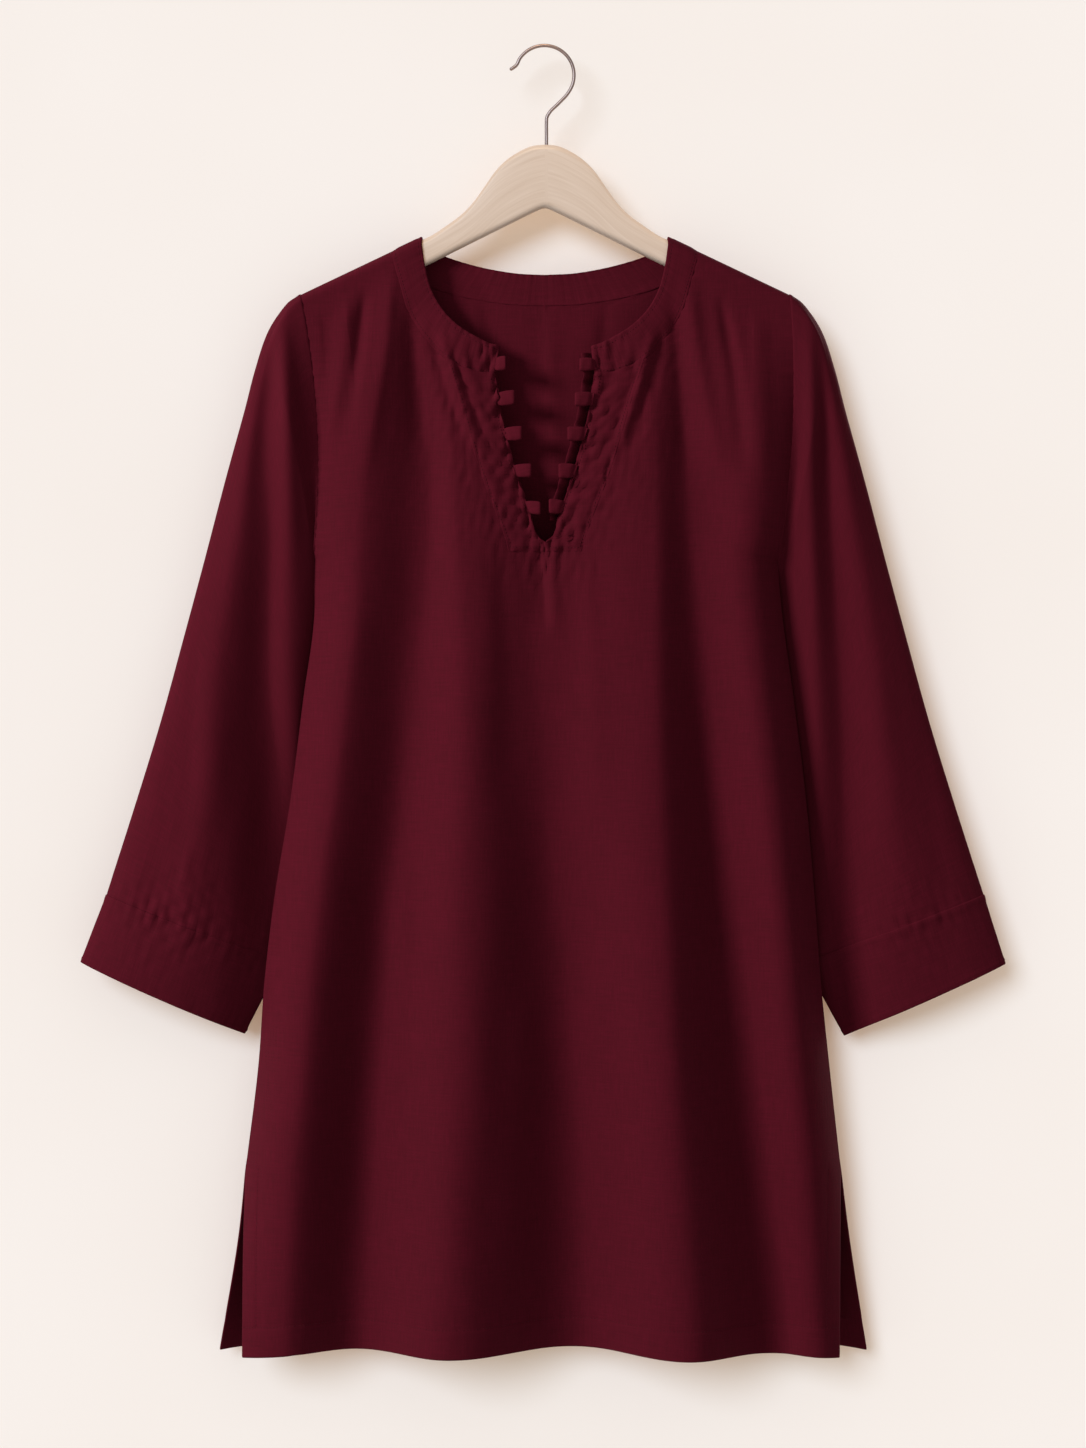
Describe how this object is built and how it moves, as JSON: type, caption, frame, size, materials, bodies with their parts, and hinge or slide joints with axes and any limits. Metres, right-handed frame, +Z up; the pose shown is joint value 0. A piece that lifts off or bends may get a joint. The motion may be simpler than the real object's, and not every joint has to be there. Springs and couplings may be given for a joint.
{
  "type": "kurti on a clothes hanger",
  "caption": "Straight kurti with long cuffed sleeves, a V slit edged with cloth tabs and open side slits, hung flat on a wooden clothes hanger by its wire hook.",
  "frame": {"origin": "inside top of the hook, at the middle of the wire, where a rail carries the hanger", "axes": "+X to the right of someone who faces the front, +Y towards the back, +Z up"},
  "size_m": [0.795, 0.0797, 1.1252],
  "materials": {
    "cloth": "matte woven cotton and linen cloth, dark wine red",
    "hanger_wood": "pale beech with a satin clear coat",
    "hook_wire": "brushed steel wire"
  },
  "bodies": {
    "root": {"front": "cloth", "back": "cloth", "neckband_front_left": "cloth", "neckband_front_right": "cloth", "neckband_back": "cloth", "placket_left": "cloth", "placket_right": "cloth", "tab_left_1": "cloth", "tab_left_2": "cloth", "tab_left_3": "cloth", "tab_left_4": "cloth", "tab_left_5": "cloth", "tab_right_1": "cloth", "tab_right_2": "cloth", "tab_right_3": "cloth", "tab_right_4": "cloth", "tab_right_5": "cloth", "sleeve_left": "cloth", "sleeve_right": "cloth", "cuff_left": "cloth", "cuff_right": "cloth", "hanger": "hanger_wood", "hook": "hook_wire"}
  },
  "joints": []
}
